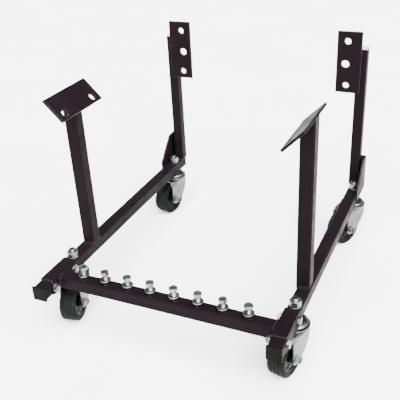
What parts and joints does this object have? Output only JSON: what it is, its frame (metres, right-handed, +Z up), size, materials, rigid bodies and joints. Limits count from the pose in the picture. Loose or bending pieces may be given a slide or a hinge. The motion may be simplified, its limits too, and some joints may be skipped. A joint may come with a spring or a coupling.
{
  "type": "engine stand",
  "caption": "Low rolling engine stand: square-tube rails on swivel casters, a cross beam with storage bolts, tilted side mount plates and upright plates for the rear of the engine.",
  "frame": {"origin": "on the floor under the middle of the stand", "axes": "+X to the stand's right along the cross beam, +Y from the cross beam to the open rear end along the rails, +Z up"},
  "size_m": [0.5105, 0.6092, 0.4699],
  "materials": {
    "dark_paint": "gloss",
    "zinc": "zinc plated, satin",
    "cap_plastic": "satin",
    "plug_plastic": "satin",
    "ball_steel": "polished",
    "tyre": "matte",
    "wheel_core": "gloss"
  },
  "bodies": {
    "frame": {"crossbeam_nuts": "dark_paint", "fl_stem": "zinc", "fr_stem": "zinc", "front_crossbeam": "dark_paint", "front_end_caps": "cap_plastic", "left_bell_plate": "dark_paint", "left_engine_plate": "dark_paint", "left_front_upright": "dark_paint", "left_gusset": "dark_paint", "left_rail": "dark_paint", "left_rear_upright": "dark_paint", "left_sleeve": "dark_paint", "left_upright_plug": "plug_plastic", "left_weld_beads": "dark_paint", "rear_end_caps": "cap_plastic", "right_bell_plate": "dark_paint", "right_engine_plate": "dark_paint", "right_front_upright": "dark_paint", "right_gusset": "dark_paint", "right_rail": "dark_paint", "right_rear_upright": "dark_paint", "right_sleeve": "dark_paint", "right_upright_plug": "plug_plastic", "right_weld_beads": "dark_paint", "rl_stem": "zinc", "rr_stem": "zinc", "sleeve_cross_bolts": "zinc", "sleeve_cross_nuts": "zinc", "sleeve_cross_washers": "zinc", "stem_lock_washers": "zinc", "stem_nuts": "zinc", "storage_bolts": "zinc", "storage_washers": "zinc"},
    "fl_swivel": {"fl_fork": "zinc", "fl_axle_bolt": "zinc", "fl_axle_nut": "zinc", "fl_race_balls": "ball_steel"},
    "fl_wheel": {"fl_wheel_core": "wheel_core", "fl_tyre": "tyre"},
    "fr_swivel": {"fr_fork": "zinc", "fr_axle_bolt": "zinc", "fr_axle_nut": "zinc", "fr_race_balls": "ball_steel"},
    "fr_wheel": {"fr_wheel_core": "wheel_core", "fr_tyre": "tyre"},
    "rl_swivel": {"rl_fork": "zinc", "rl_axle_bolt": "zinc", "rl_axle_nut": "zinc", "rl_race_balls": "ball_steel"},
    "rl_wheel": {"rl_wheel_core": "wheel_core", "rl_tyre": "tyre"},
    "rr_swivel": {"rr_fork": "zinc", "rr_axle_bolt": "zinc", "rr_axle_nut": "zinc", "rr_race_balls": "ball_steel"},
    "rr_wheel": {"rr_wheel_core": "wheel_core", "rr_tyre": "tyre"}
  },
  "joints": [
    {"name": "fl_swivel", "type": "hinge", "parent": "frame", "child": "fl_swivel", "pos_m": [-0.225, -0.191, 0.09], "axis": [0, 0, 1], "continuous": true},
    {"name": "fl_wheel_spin", "type": "hinge", "parent": "fl_swivel", "child": "fl_wheel", "pos_m": [-0.21776, -0.22114, 0.0381], "axis": [0.9724, 0.2334, 0], "continuous": true},
    {"name": "fr_swivel", "type": "hinge", "parent": "frame", "child": "fr_swivel", "pos_m": [0.225, -0.191, 0.09], "axis": [0, 0, 1], "continuous": true},
    {"name": "fr_wheel_spin", "type": "hinge", "parent": "fr_swivel", "child": "fr_wheel", "pos_m": [0.21824, -0.22125, 0.0381], "axis": [0.9759, -0.2181, 0], "continuous": true},
    {"name": "rl_swivel", "type": "hinge", "parent": "frame", "child": "rl_swivel", "pos_m": [-0.225, 0.261, 0.09], "axis": [0, 0, 1], "continuous": true},
    {"name": "rl_wheel_spin", "type": "hinge", "parent": "rl_swivel", "child": "rl_wheel", "pos_m": [-0.23049, 0.23049, 0.0381], "axis": [0.9842, -0.1771, 0], "continuous": true},
    {"name": "rr_swivel", "type": "hinge", "parent": "frame", "child": "rr_swivel", "pos_m": [0.225, 0.261, 0.09], "axis": [0, 0, 1], "continuous": true},
    {"name": "rr_wheel_spin", "type": "hinge", "parent": "rr_swivel", "child": "rr_wheel", "pos_m": [0.2116, 0.23304, 0.0381], "axis": [0.9018, -0.4321, 0], "continuous": true}
  ]
}
